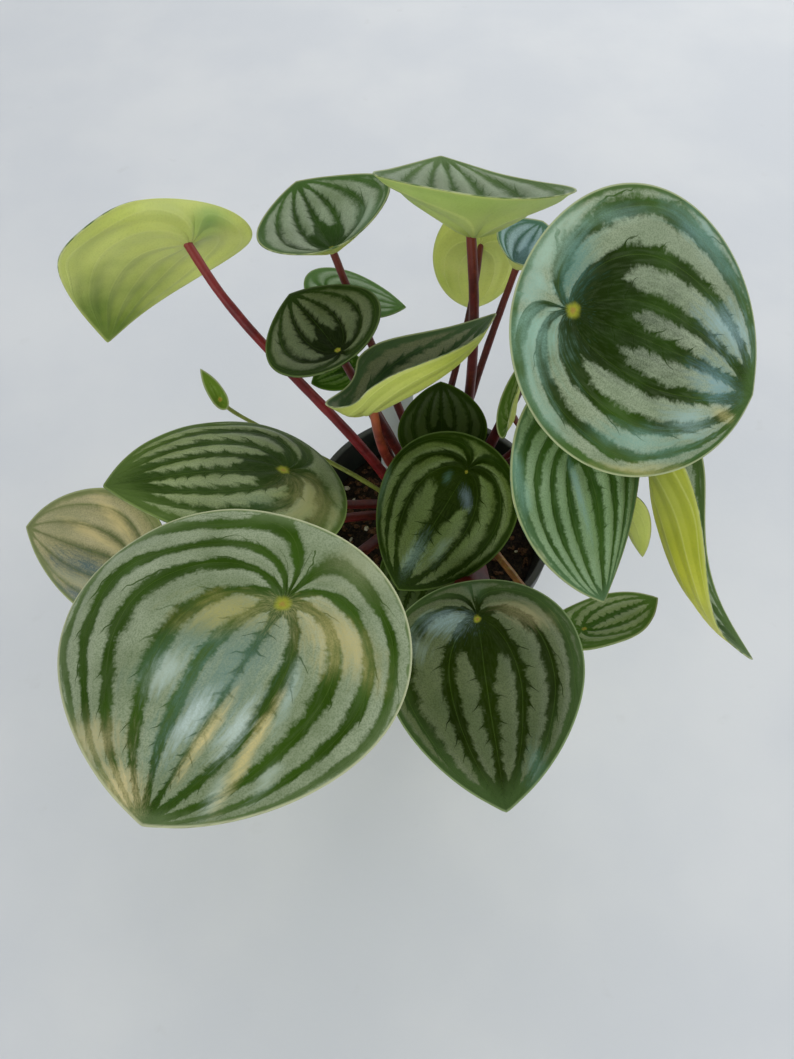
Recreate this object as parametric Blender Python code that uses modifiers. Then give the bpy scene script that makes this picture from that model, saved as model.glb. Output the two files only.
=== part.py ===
"""Potted watermelon peperomia: a round nursery pot of soil with a tuft of shield-shaped leaves.

Metres, +Z up, origin at the centre of the pot's underside. Blades, petioles, crown, soil, pot and
plant label are one object each. Run with blender --background --python part.py.
"""

import math

import bmesh
import bpy
from mathutils import Matrix, Vector

MM = 0.001
GAP = 0.0003            # air left between two pieces that touch

# Pot
POT_HEIGHT = 0.088
RIM_RADIUS = 0.051      # outside of the rim band
BAND_HEIGHT = 0.013
BAND_STEP = 0.0016      # how far the band stands out from the tapered wall
BASE_RADIUS = 0.037
WALL = 0.0014
FLOOR = 0.0018
POT_STEPS = 48
DRAIN_COUNT = 6
DRAIN_RADIUS = 0.0035
DRAIN_CIRCLE = 0.026

# Soil and crown
SOIL_TOP = 0.072
SOIL_MOUND = 0.003      # how much the soil rises from the wall to the crown
CROWN_X = 0.004
CROWN_Y = 0.011
CROWN_RADIUS = 0.0185
CROWN_TOP = 0.079
CROWN_DEPTH = 0.012     # how far it reaches below SOIL_TOP

# Plant label: a plain plastic stake
LABEL_WIDTH = 0.014
LABEL_THICK = 0.0012
LABEL_ABOVE = 0.043
LABEL_BELOW = 0.012
LABEL_POINT = 0.012
LABEL_X = -0.014
LABEL_Y = 0.031
LABEL_LEAN = 35.0       # degrees back from upright

# Blades and petioles
BLADE_THICK = 0.0011
RIM_THICK = 0.0006
PETIOLE_POINTS = 9
HUB_GAP = 0.0004        # air between a petiole's end and its blade
FLAT_DIMPLE = 0.0015    # depth of the dimple over the petiole
DIMPLE_SHARE = 0.13     # its radius as a share of the length
CONE_ROUND = 0.06       # rounding of a funnel's apex as a share of the length
SPOKE_EASE = 0.3        # crowds the spokes towards the tip

# A blade is set out flat: +u runs from the petiole to the tip, +v to the left of it, and the
# upper side faces +w. These are its angles and shares where a leaf's own entry says nothing.
PLAIN = dict(
    spokes=24,
    rings=5,
    hub_share=0.25,     # petiole's place along the blade, from the base
    taper=0.75,         # 0.5 is an ellipse, 1 a pointed egg
    skew=0,             # how much wider the left half is than the right
    cone=0,             # slope of the blade all round the petiole: above 0 is a funnel
    across=20,          # droop of the side margins, below 0 they rise
    arch=15,            # droop of the tip
    back=15,            # droop of the base
    wave=0,             # height of the margin's waves in mm
    stalk=4.0,          # petiole's diameter in mm
    meet=0.6,           # 0: petiole arrives straight from the crown, 1: square to the blade
    rise=0.4,           # 0: it leaves the crown straight for the blade, 1: straight up
    bow=(0, 0),         # sideways bulge of its middle in mm
)


def leaf(name, hub, heading, pitch, roll, length, width, foot, **shape):
    """hub: where the petiole meets the blade. heading, pitch: which way the tip points.
    foot: the petiole's bearing and distance from the crown's centre. Millimetres and degrees."""
    entry = dict(PLAIN, **shape)
    entry.update(name=name, hub=hub, heading=heading, pitch=pitch, roll=roll)
    entry.update(length=length, width=width, foot=foot)
    return entry


LEAVES = [
    leaf("front_left", (-43, -82, 188), 244, 8, 0, 85, 100, (238, 15.5), spokes=28, rings=6,
         taper=0.73, skew=-0.22, hub_share=0.28, across=28, arch=8, back=-10, stalk=4.6,
         bow=(-8, 0)),
    leaf("left", (-51, -22, 156), 197, 24, 19, 76, 74, (222, 9.5), spokes=28, rings=6,
         taper=0.85, hub_share=0.26, cone=1, across=18, arch=14, back=20),
    leaf("far_left", (-101, -48, 139), 156, -9, -38, 62, 46, (213, 15.5),
         across=8, arch=0, back=0),
    leaf("front", (11, -69, 145), 276, -3, 5, 71, 63, (286, 15.5), spokes=28, rings=6,
         taper=0.85, hub_share=0.19, cone=1, across=23, arch=12, back=29, stalk=4.4),
    leaf("centre", (10, -16, 147), 234, -27, 0, 60, 51, (275, 9.5),
         skew=-0.05, hub_share=0.19, across=19, arch=18, back=11),
    leaf("right", (34, -4, 211), -9, -18, 27, 88, 85, (5, 9.5), spokes=28, rings=6,
         taper=0.6, skew=0.07, hub_share=0.19, across=12, arch=24, back=12, stalk=4.6, rise=0.2,
         bow=(9, 13)),
    leaf("lower_right", (41, -23, 175), -65, -48, -21, 81, 62, (322, 10), spokes=28, rings=6,
         taper=0.95, skew=-0.04, hub_share=0.27, across=2, arch=9, back=18),
    leaf("hanging", (70.5, -18, 151), -71, -50, -63, 108, 56, (352, 15.5), spokes=28, rings=6,
         taper=1.04, skew=0.11, hub_share=0.23, cone=-10, across=-81, arch=-57, back=0),
    leaf("small_hanging", (64, -24, 135), -54, -51, -90, 32, 21, (332, 15.5), spokes=20, rings=4,
         taper=0.9, across=-57, arch=-10, back=0, stalk=3.0),
    leaf("low_right", (53, -59, 108), 24, -8, -31, 47, 27, (312, 15.5),
         taper=0.8, hub_share=0.29, across=0, arch=0, back=0, wave=2, stalk=3.4, meet=0.65),
    leaf("low_front", (-5, -30, 107), 250, -20, 0, 36, 28, (262, 15.5), spokes=20, rings=4,
         across=10, arch=10, back=0, stalk=3.0),
    leaf("inner_back", (3, 9, 127), 95, 45, 0, 32, 35, (0, 0), spokes=20, rings=4,
         cone=10, across=0, arch=0, back=0, stalk=3.0),
    leaf("curled", (-22, -5, 166), 18, 12, -44, 65, 45, (190, 9.5), spokes=28, rings=6,
         skew=0.12, cone=-13, across=-88, arch=-53, back=-75, wave=0.6, bow=(-6, 4)),
    leaf("inner_left", (-34, 22, 163), 121, -16, -13, 45, 46, (160, 9.5),
         cone=14, across=0, arch=0, back=0),
    leaf("tucked", (-32, 40, 132), 200, -10, 0, 22, 18, (163, 15.5), spokes=20, rings=4,
         across=0, arch=0, back=0, stalk=3.0),
    leaf("behind_inner_left", (-41, 70, 143), 1, -19, -5, 43, 28, (140, 15.5), spokes=20, rings=4,
         taper=0.82, across=0, arch=0, back=0, stalk=3.4),
    leaf("back_left", (-37, 62, 171), 110, -22, -9, 53, 58, (125, 9.5),
         skew=-0.09, hub_share=0.29, cone=26, across=0, arch=0, back=0, stalk=3.8),
    leaf("far_back_left", (-88, 61, 175), 178, -41, 52, 75, 77, (186, 15.5), spokes=28, rings=6,
         taper=1.05, skew=0.12, hub_share=0.26, cone=22, across=34, arch=57, back=-68, stalk=4.4),
    leaf("back", (10, 41, 196), 104, -34, 12, 80, 74, (60, 9.5), spokes=28, rings=6,
         taper=0.85, hub_share=0.34, cone=28, across=0, arch=5, back=-9, stalk=4.4, bow=(6, 0)),
    leaf("far_back", (19, 86, 151), 88, -93, 0, 61, 38, (100, 15.5),
         taper=0.62, hub_share=0.31, cone=12, across=0, arch=0, back=0, stalk=3.2),
    leaf("back_right", (31, 67, 158), 66, -22, 8, 32, 35, (72, 15.5), spokes=20, rings=4,
         taper=0.65, cone=31, across=-11, arch=0, back=-4, stalk=3.6),
    leaf("young", (-81, 23, 135), 130, 40, 0, 18, 8, (200, 15.5), spokes=16, rings=3,
         across=-30, arch=0, back=0, stalk=2.0),
    leaf("inner_right", (25, -2, 158), 70, 30, -60, 32, 15, (340, 4.5), spokes=20, rings=4,
         across=-60, arch=0, back=0, stalk=2.8),
]


def material(name, color, roughness, metallic=0.0):
    made = bpy.data.materials.new(name)
    made.use_nodes = True
    shader = made.node_tree.nodes["Principled BSDF"]
    shader.inputs["Base Color"].default_value = (*color, 1.0)
    shader.inputs["Roughness"].default_value = roughness
    shader.inputs["Metallic"].default_value = metallic
    return made


def clear_scene():
    for obj in list(bpy.data.objects):
        bpy.data.objects.remove(obj, do_unlink=True)


def collection(name, rendered=True):
    made = bpy.data.collections.new(name)
    made.hide_render = not rendered
    bpy.context.scene.collection.children.link(made)
    return made


def add_object(name, data, group, finish=None):
    made = bpy.data.objects.new(name, data)
    if finish:
        data.materials.append(finish)
    group.objects.link(made)
    return made


def mesh_object(name, shape, group, finish=None):
    """Turns the bmesh into a named object, and frees it."""
    data = bpy.data.meshes.new(name)
    shape.to_mesh(data)
    shape.free()
    data.shade_smooth()
    data.set_sharp_from_angle(angle=math.radians(40))
    return add_object(name, data, group, finish)


def turned(name, profile, steps, group, finish):
    """A profile of (radius, height) turned about Z with a Screw modifier."""
    shape = bmesh.new()
    points = [shape.verts.new((radius, 0, height)) for radius, height in profile]
    for first, second in zip(points, points[1:]):
        shape.edges.new((first, second))
    made = mesh_object(name, shape, group, finish)
    screw = made.modifiers.new("Turn", "SCREW")
    screw.steps = steps
    screw.render_steps = steps
    screw.use_merge_vertices = True
    screw.merge_threshold = 0.00001
    screw.use_smooth_shade = True
    return made


def cutter(name, shape, group):
    made = mesh_object(name, shape, group)
    made.hide_render = True
    made.display_type = "WIRE"
    return made


def cut(target, tool):
    boolean = target.modifiers.new("Cut " + tool.name, "BOOLEAN")
    boolean.operation = "DIFFERENCE"
    boolean.solver = "EXACT"
    boolean.object = tool


def wall_radius(height):
    """Outside radius of the tapered wall, below the rim band."""
    top = RIM_RADIUS - BAND_STEP
    return BASE_RADIUS + (top - BASE_RADIUS) * height / POT_HEIGHT


def build_pot(parts, cutters, finish):
    band = POT_HEIGHT - BAND_HEIGHT
    lip = 0.0006
    foot = 0.0015
    profile = [
        (0, FLOOR),
        (wall_radius(FLOOR) - WALL, FLOOR),
        (wall_radius(POT_HEIGHT) - WALL, POT_HEIGHT - lip),
        (wall_radius(POT_HEIGHT) - WALL + lip, POT_HEIGHT),
        (RIM_RADIUS - lip, POT_HEIGHT),
        (RIM_RADIUS, POT_HEIGHT - lip),
        (RIM_RADIUS - lip, band),
        (wall_radius(band), band - lip),
        (wall_radius(foot), foot),
        (BASE_RADIUS - foot, 0),
        (0, 0),
    ]
    pot = turned("pot", profile, POT_STEPS, parts, finish)
    drains = bmesh.new()
    for index in range(DRAIN_COUNT):
        bearing = 2 * math.pi * (index + 0.5) / DRAIN_COUNT
        place = Matrix.Rotation(bearing, 4, "Z") @ Matrix.Translation((DRAIN_CIRCLE, 0, 0))
        bmesh.ops.create_cone(drains, cap_ends=True, segments=12, radius1=DRAIN_RADIUS,
                              radius2=DRAIN_RADIUS, depth=4 * FLOOR, matrix=place)
    cut(pot, cutter("drain_cutter", drains, cutters))


def build_soil(parts, cutters, finish):
    low = FLOOR + GAP
    ease = 0.006
    profile = [
        (0, SOIL_TOP + SOIL_MOUND),
        (0.018, SOIL_TOP + SOIL_MOUND),
        (0.034, SOIL_TOP + 0.4 * SOIL_MOUND),
        (wall_radius(SOIL_TOP) - WALL - GAP - ease, SOIL_TOP),
        (wall_radius(SOIL_TOP) - WALL - GAP, SOIL_TOP - 0.3 * ease),
        (wall_radius(low) - WALL - GAP, low),
        (0, low),
    ]
    soil = turned("soil", profile, POT_STEPS, parts, finish)
    pocket = bmesh.new()
    bottom = SOIL_TOP - CROWN_DEPTH - GAP
    top = CROWN_TOP + 0.01
    bmesh.ops.create_cone(
        pocket, cap_ends=True, segments=24, radius1=CROWN_RADIUS + GAP,
        radius2=CROWN_RADIUS + GAP, depth=top - bottom,
        matrix=Matrix.Translation((CROWN_X, CROWN_Y, (top + bottom) / 2)))
    cut(soil, cutter("crown_pocket_cutter", pocket, cutters))
    slot = bmesh.new()
    label_solid(slot, GAP)
    cut(soil, cutter("label_slot_cutter", slot, cutters))


def label_place():
    lean = Matrix.Rotation(math.radians(-LABEL_LEAN), 4, "X")
    return Matrix.Translation((LABEL_X, LABEL_Y, SOIL_TOP)) @ lean


def label_solid(shape, margin):
    """A flat stake with a pointed foot, larger by the margin all round."""
    half = LABEL_WIDTH / 2 + margin
    bottom = -LABEL_BELOW - margin
    top = LABEL_ABOVE + margin
    corner = 0.003
    outline = [
        (0, bottom),
        (half, bottom + LABEL_POINT),
        (half, top - corner),
        (half - corner, top),
        (corner - half, top),
        (-half, top - corner),
        (-half, bottom + LABEL_POINT),
    ]
    thick = LABEL_THICK + 2 * margin
    place = label_place()
    points = [shape.verts.new(place @ Vector((x, thick / 2, z))) for x, z in outline]
    face = shape.faces.new(points)
    grown = bmesh.ops.extrude_face_region(shape, geom=[face])
    moved = [item for item in grown["geom"] if isinstance(item, bmesh.types.BMVert)]
    bmesh.ops.translate(shape, verts=moved, vec=place.to_3x3() @ Vector((0, -thick, 0)))
    bmesh.ops.recalc_face_normals(shape, faces=shape.faces)


def build_label(parts, finish):
    shape = bmesh.new()
    label_solid(shape, 0)
    mesh_object("plant_label", shape, parts, finish)


def build_crown(parts, finish):
    """The knobbly base of the stems: a squat dome, sunk in the soil."""
    shape = bmesh.new()
    bottom = SOIL_TOP - CROWN_DEPTH
    bmesh.ops.create_uvsphere(shape, u_segments=20, v_segments=10, radius=1)
    for point in shape.verts:
        bearing = math.atan2(point.co.y, point.co.x)
        knob = 1 + 0.05 * math.cos(5 * bearing)
        reach = CROWN_RADIUS / 1.05 * knob
        flat = min(point.co.z, 0.75) / 0.75
        middle = (CROWN_TOP + bottom) / 2
        point.co = (CROWN_X + reach * point.co.x, CROWN_Y + reach * point.co.y,
                    middle + (CROWN_TOP - bottom) / 2 * max(flat, -1))
    mesh_object("crown", shape, parts, finish)


def frame_of(entry):
    """Directions of the blade's u, v and w: to the tip, to the left and out of the upper side."""
    heading = math.radians(entry["heading"])
    pitch = math.radians(entry["pitch"])
    tip = Vector((math.cos(heading) * math.cos(pitch), math.sin(heading) * math.cos(pitch),
                  math.sin(pitch)))
    left = Vector((-math.sin(heading), math.cos(heading), 0))
    turn = Matrix.Rotation(math.radians(entry["roll"]), 3, tip)
    return tip, turn @ left, turn @ tip.cross(left)


def margin_reach(entry, angle):
    """Distance from the petiole to the margin of the flat blade, at an angle from the tip."""
    length = entry["length"] * MM
    taper = entry["taper"]
    widest = 0.5 / (0.5 + taper)
    side = 1 + entry["skew"] * math.copysign(1, math.sin(angle))
    scale = side * entry["width"] * MM / 2 / (math.sqrt(widest) * (1 - widest) ** taper)
    near = 0.0
    far = length
    for _ in range(40):
        reach = (near + far) / 2
        share = entry["hub_share"] + reach * math.cos(angle) / length
        inside = 0 < share < 1 and reach * abs(math.sin(angle)) < (
            scale * math.sqrt(share) * (1 - share) ** taper)
        if inside:
            near = reach
        else:
            far = reach
    return near


def bent(entry, u, v, lift):
    """Where a point this far above the flat blade goes when the blade is funnelled, waved, curled."""
    length = entry["length"] * MM
    reach = math.hypot(u, v)
    cone = math.radians(entry["cone"])
    eased = CONE_ROUND * length
    w = lift + (math.hypot(reach, eased) - eased) * math.sin(cone)
    w += FLAT_DIMPLE * (1 - math.exp(-(reach / (DIMPLE_SHARE * length)) ** 2))
    shrink = math.cos(cone) + (1 - math.cos(cone)) * math.exp(-(reach / eased) ** 2)
    w += entry["wave"] * MM * (2 * reach / length) ** 2 * math.sin(3 * math.atan2(v, u))
    u *= shrink
    v *= shrink
    v, w = curled(v, w, math.radians(entry["across"]), entry["width"] * MM / 2)
    if u > 0:
        u, w = curled(u, w, math.radians(entry["arch"]), (1 - entry["hub_share"]) * length)
    else:
        u, w = curled(u, w, math.radians(entry["back"]), entry["hub_share"] * length)
    return u, v, w


def curled(run, height, droop, reach):
    """Wraps a run of the given reach round an arc that turns down by droop at its end."""
    if abs(droop) < 1e-6:
        return run, height
    radius = reach / droop
    angle = abs(run) / radius
    side = math.copysign(1, run)
    return side * (radius + height) * math.sin(angle), (radius + height) * math.cos(angle) - radius


def build_blade(entry, parts, finish):
    """A UV sphere pressed flat: its poles lie over the petiole and its equator is the margin."""
    spokes = entry["spokes"]
    rings = entry["rings"]
    tip, left, out = frame_of(entry)
    hub = Vector(entry["hub"]) * MM
    shape = bmesh.new()
    bmesh.ops.create_uvsphere(shape, u_segments=spokes, v_segments=2 * rings, radius=1)
    reaches = {}
    even = set()
    for point in shape.verts:
        across = math.hypot(point.co.x, point.co.y)
        ring = round(rings * math.atan2(across, abs(point.co.z)) / (math.pi / 2))
        spoke = round(spokes * math.atan2(point.co.y, point.co.x) / (2 * math.pi)) if ring else 0
        around = 2 * math.pi * spoke / spokes
        angle = around - SPOKE_EASE * math.sin(around)
        if spoke not in reaches:
            reaches[spoke] = margin_reach(entry, angle)
        if (ring + spoke) % 2 == 0:
            even.add(point)
        share = (ring / rings) ** 0.9
        reach = share * reaches[spoke]
        thick = BLADE_THICK + (RIM_THICK - BLADE_THICK) * share
        lift = math.copysign(thick / 2, point.co.z) if ring < rings else 0
        u, v, w = bent(entry, reach * math.cos(angle), reach * math.sin(angle), lift)
        point.co = hub + u * tip + v * left + w * out
    # Both sides take the same diagonals, so that they can't cross where the blade is thin.
    for face in list(shape.faces):
        if len(face.verts) == 4:
            bmesh.utils.face_split(face, *[corner for corner in face.verts if corner in even])
    mesh_object(entry["name"] + "_blade", shape, parts, finish)


def bezier(points, share):
    """A point of the cubic curve through four control points."""
    rest = 1 - share
    first, second, third, last = points
    return (rest ** 3 * first + 3 * rest ** 2 * share * second
            + 3 * rest * share ** 2 * third + share ** 3 * last)


def petiole_route(entry):
    """Control points from the crown's top to just under the blade."""
    bearing = math.radians(entry["foot"][0])
    distance = entry["foot"][1] * MM
    radius = entry["stalk"] * MM / 2
    foot = Vector((CROWN_X + distance * math.cos(bearing), CROWN_Y + distance * math.sin(bearing),
                   CROWN_TOP + GAP + 0.001))
    out = frame_of(entry)[2]
    hub = Vector(entry["hub"]) * MM
    span = (hub - foot).length
    straight = (hub - foot).normalized()
    arrive = straight.lerp(out, entry["meet"]).normalized()
    leave = straight.lerp(Vector((0, 0, 1)), entry["rise"]).normalized()
    tilt = math.sqrt(max(0.0, 1 - arrive.dot(out) ** 2))
    end = hub - out * BLADE_THICK / 2 - arrive * (HUB_GAP + radius * tilt)
    bow = Vector((*entry["bow"], 0)) * MM
    return [foot, foot + leave * 0.35 * span + bow, end - arrive * 0.3 * span + bow, end]


def build_petiole(entry, parts, finish):
    """A round stalk as a bevelled curve with filled caps."""
    route = petiole_route(entry)
    curve = bpy.data.curves.new(entry["name"] + "_petiole", "CURVE")
    curve.dimensions = "3D"
    curve.bevel_depth = entry["stalk"] * MM / 2
    curve.bevel_resolution = 2
    curve.use_fill_caps = True
    spline = curve.splines.new("POLY")
    spline.points.add(PETIOLE_POINTS - 1)
    for index, point in enumerate(spline.points):
        point.co = (*bezier(route, index / (PETIOLE_POINTS - 1)), 1)
    add_object(curve.name, curve, parts, finish)


def build():
    clear_scene()
    parts = collection("potted_peperomia")
    cutters = collection("cutters", rendered=False)
    build_pot(parts, cutters, material("pot_plastic", (0.012, 0.02, 0.015), 0.45))
    build_soil(parts, cutters, material("soil", (0.05, 0.032, 0.02), 0.95))
    build_label(parts, material("label_plastic", (0.7, 0.74, 0.8), 0.4))
    build_crown(parts, material("crown", (0.12, 0.03, 0.02), 0.6))
    blade = material("leaf_blade", (0.09, 0.2, 0.05), 0.35)
    petiole = material("petiole", (0.2, 0.025, 0.02), 0.4)
    for entry in LEAVES:
        build_blade(entry, parts, blade)
        build_petiole(entry, parts, petiole)


build()
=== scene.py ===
"""Potted watermelon peperomia: finished leaves, stalks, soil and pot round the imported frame."""

import cmath
import math
import random
from types import SimpleNamespace

import bmesh
import bpy
import numpy as np
from mathutils import Matrix, Vector, noise
from mathutils.bvhtree import BVHTree
from mathutils.kdtree import KDTree


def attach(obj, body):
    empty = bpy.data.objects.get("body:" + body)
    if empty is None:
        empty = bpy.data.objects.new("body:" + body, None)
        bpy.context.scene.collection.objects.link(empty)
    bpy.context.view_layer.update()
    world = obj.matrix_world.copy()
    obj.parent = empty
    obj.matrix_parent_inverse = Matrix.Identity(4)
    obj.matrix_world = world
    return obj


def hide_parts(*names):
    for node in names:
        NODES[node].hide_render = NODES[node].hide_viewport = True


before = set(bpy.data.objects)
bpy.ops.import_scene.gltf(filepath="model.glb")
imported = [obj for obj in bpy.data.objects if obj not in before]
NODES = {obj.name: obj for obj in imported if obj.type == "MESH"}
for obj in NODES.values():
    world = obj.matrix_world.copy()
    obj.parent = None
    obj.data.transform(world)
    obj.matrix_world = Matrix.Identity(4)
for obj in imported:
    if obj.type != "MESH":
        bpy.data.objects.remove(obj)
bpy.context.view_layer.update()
MM = 0.001
DOUBLES = 1e-6          # points nearer than this in metres are one point


# ---- hand tools

def pick_only(piece):
    bpy.ops.object.select_all(action="DESELECT")
    piece.select_set(True)
    bpy.context.view_layer.objects.active = piece


def put_out(name, data):
    """A new object at the origin."""
    piece = bpy.data.objects.new(name, data)
    bpy.context.scene.collection.objects.link(piece)
    return piece


def merge_doubles(near=DOUBLES, outwards=True):
    """Ends edit mode: points that lie together are merged, and faces turned outwards."""
    bpy.ops.mesh.select_all(action="SELECT")
    bpy.ops.mesh.remove_doubles(threshold=near)
    if outwards:
        bpy.ops.mesh.normals_make_consistent(inside=False)
    bpy.ops.object.mode_set(mode="OBJECT")


def merged_copy(name, node):
    """A copy of a CAD node's mesh as a piece of its own, with its doubles merged."""
    piece = put_out(name, NODES[node].data.copy())
    piece.data.name = name
    piece.data.materials.clear()
    pick_only(piece)
    bpy.ops.mesh.customdata_custom_splitnormals_clear()
    bpy.ops.object.mode_set(mode="EDIT")
    merge_doubles(outwards=False)
    return piece


def give(thing, **settings):
    for key, value in settings.items():
        setattr(thing, key, value)


def modifier(piece, kind, **settings):
    """Adds a modifier with these settings and applies it."""
    pick_only(piece)
    made = piece.modifiers.new(kind.title(), kind)
    give(made, **settings)
    bpy.ops.object.modifier_apply(modifier=made.name)


def settle(piece, node=None, finish=None):
    """Gives the piece its finish, and lets it ride on the plant in place of its CAD node."""
    if finish:
        piece.data.materials.append(finish)
    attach(piece, "root")
    if node:
        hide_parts(node)


def read_all(items, key, width, kind=np.float32):
    """One value of each item, as rows of this width."""
    values = np.empty(width * len(items), kind)
    items.foreach_get(key, values)
    return values.reshape(-1, width)


def points_of(piece, key="co"):
    """Each vertex's place, or its normal where that is the key."""
    return read_all(piece.data.vertices, key, 3).astype(float)


def lifted(piece, lift):
    """Each vertex's place after its own lift along its normal."""
    return points_of(piece) + points_of(piece, "normal") * lift[:, None]


def place_points(piece, points):
    piece.data.vertices.foreach_set("co", points.astype(np.float32).ravel())
    piece.data.update()


def mark(piece, name, values):
    """Stores one number for each vertex under a name that materials read."""
    layer = piece.data.attributes.new(name, "FLOAT", "POINT")
    layer.data.foreach_set("value", np.asarray(values, np.float32))


def lumpy(points, scale, seed=0.0):
    """Smooth noise from -1 to 1 at each point; scale is in lumps a metre."""
    shift = Vector((seed, 1.7 * seed, -0.6 * seed))
    return np.array([noise.noise(Vector(point) * scale + shift) for point in points])


def layered(points, layers):
    """Lumps on lumps: each layer is a height, its lumps a metre and a seed."""
    return sum(height * lumpy(points, scale, seed) for height, scale, seed in layers)


# ---- finishes

def linear(colour):
    """Makes a swatch of three numbers, 0 to 255, linear, and leaves anything else as it is."""
    if not isinstance(colour, tuple) or len(colour) != 3:
        return colour
    parts = []
    for part in colour:
        part /= 255
        parts.append(part / 12.92 if part <= 0.04045 else ((part + 0.055) / 1.055) ** 2.4)
    return (*parts, 1)


class Finish:
    """A material being mixed. Each method adds one node and gives back its output."""

    def __init__(self, name, rough, gloss):
        self.material = bpy.data.materials.new(name)
        self.material.use_nodes = True
        self.tree = self.material.node_tree
        self.shader = self.tree.nodes["Principled BSDF"]
        self.place = self.add("TexCoord", {}, "Object")
        self.set("Roughness", rough)
        self.set("Specular IOR Level", gloss)

    def feed(self, socket, value):
        if isinstance(value, bpy.types.NodeSocket):
            self.tree.links.new(value, socket)
        else:
            socket.default_value = value

    def set(self, name, value):
        self.feed(self.shader.inputs[name], value)

    def add(self, kind, inputs, output=0, **settings):
        """Adds a node with these settings and these inputs, by their names or places."""
        node = self.tree.nodes.new("ShaderNode" + kind)
        give(node, **settings)
        for key, value in inputs.items():
            self.feed(node.inputs[key], value)
        return node.outputs[output]

    def math(self, operation, *values):
        return self.add("Math", dict(enumerate(values)), operation=operation)

    def plus(self, one, two):
        return self.math("ADD", one, two)

    def less(self, one, two):
        return self.math("SUBTRACT", one, two)

    def times(self, one, two):
        return self.math("MULTIPLY", one, two)

    def scaled(self, value, scale, shift):
        return self.math("MULTIPLY_ADD", value, scale, shift)

    def centred(self, value, spread):
        """A value from 0 to 1 made to run over the spread, half of it on each side of 0."""
        return self.scaled(value, spread, -0.5 * spread)

    def size(self, value):
        return self.math("ABSOLUTE", value)

    def ease(self, value, low, high, start=0.0, end=1.0):
        """Runs smoothly from start to end while the value runs from low to high."""
        return self.add("MapRange", dict(enumerate((value, low, high, start, end))),
                        interpolation_type="SMOOTHSTEP")

    def curve(self, value, stops):
        """Straight runs between the stops, each from 0 to 1 on both axes."""
        node = self.add("FloatCurve", {"Value": value}).node
        line = node.mapping.curves[0]
        for stop in stops[1:-1]:
            line.points.new(*stop)
        for point, stop in zip(line.points, stops):
            point.location = stop
            point.handle_type = "VECTOR"
        node.mapping.update()
        return node.outputs[0]

    def mix(self, share, first, second, kind="MIX"):
        """Mixes two colours, each a swatch, a linear colour of four numbers or an output."""
        return self.add("Mix", {0: share, 6: linear(first), 7: linear(second)}, 2,
                        data_type="RGBA", blend_type=kind)

    def blend(self, first, second, *runs):
        """Mixes in the second colour by the share that ease makes of the rest."""
        return self.mix(self.ease(*runs), first, second)

    def noise(self, scale, detail=2.0, distortion=0.0, vector=None):
        return self.add("TexNoise", {"Vector": vector or self.place, "Scale": scale,
                                     "Detail": detail, "Distortion": distortion})

    def cells(self, scale):
        """The distance from the middle of the nearest cell."""
        return self.add("TexVoronoi", {"Vector": self.place, "Scale": scale})

    def join(self, *parts):
        return self.add("CombineXYZ", dict(enumerate(parts)))

    def read(self, name):
        return self.add("Attribute", {}, "Fac", attribute_name=name)

    def read_mm(self, name):
        return self.times(self.read(name), 1000.0)

    def flat(self):
        """x towards the tip and y to the left on the blade's flat disc."""
        split = self.add("SeparateXYZ", {0: self.add("UVMap", {}, uv_map="Blade")}).node
        return split.outputs[0], split.outputs[1]

    def bump(self, height, distance, strength=1.0):
        """Adds relief, on top of any that is there already."""
        inputs = {"Strength": strength, "Distance": distance, "Height": height}
        socket = self.shader.inputs["Normal"]
        if socket.links:
            inputs["Normal"] = socket.links[0].from_socket
        self.feed(socket, self.add("Bump", inputs))


# ---- leaves

SPOKE_EASE = 0.3        # how the CAD blade crowds its spokes towards the tip
RING_EASE = 0.9
BLADE_WALL = 0.95 * MM
EDGE_SHARE = 0.45       # thickness at the margin as a share of the wall
LEAF_ROUGH = 0.42
LEAF_GLOSS = 0.05       # of the dark parts; the silver shines more
LIT_THROUGH = 0.25      # how much light soaks through the underside
PUCKER = 0.75 * MM      # how far the silver bands stand up between the veins
WANDER = 0.035          # how far the veins stray from their lanes
SCALLOP = 0.075         # depth of the bands' scallops, of the gap between two veins
FUZZ = 0.085            # softness of the bands' edges, of that gap
TIP_CREASE = 0.75       # keeps the leaf's tip pointed
WAVE = 0.22 * MM        # the blade's own gentle waves
FULL_WIDTH = 26 * MM    # half the width of a leaf whose bands stand up in full
FLAT_MARGIN = 6 * MM    # over this width the bands sink towards the margin
THIN_MARGIN = 5 * MM    # and over this one the wall thins

PLAIN = dict(
    veins=(-0.96, -0.8, -0.42, 0, 0.42, 0.8, 0.96),   # right to left, 1 on the margin
    dark=(44, 68, 8),
    deep=(33, 50, 5),
    silver=(120, 138, 100),
    pale=(144, 160, 126),
    edge=(80, 106, 50),     # the green border
    rim=(170, 180, 130),    # the thin pale line round it
    start=(-0.9, -2.4),     # where the bands begin: at the midrib, at the base
    ramp=(0, 0.75),         # the lanes over which one beginning turns to the other
    close=(2.6, 5.4),       # where they close towards the tip
    vein=0.18,              # half width of a dark vein, of the gap between two
    mid=1,                  # the midrib's share of that
    border=2.8,             # width of the green border in mm
    fuzz=1,                 # softness of the bands' edges
    cut=1,                  # depth of their scallops
    hub=1,                  # size of the pale spot over the petiole
    under=(214, 222, 118),
    under_deep=(186, 200, 92),
    washes=(),              # tints, painted sheen and painted shade: x, y, reach along, reach across, turn, colour, strength
    under_washes=(),
)

# painted sheen: a blue-green reflection laid on the leaves as colour
TEAL_SHEEN = (112, 156, 146)
SHADE = (0.5, 0.56, 0.44, 1)    # linear: what the shaded patches leave of each colour

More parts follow.
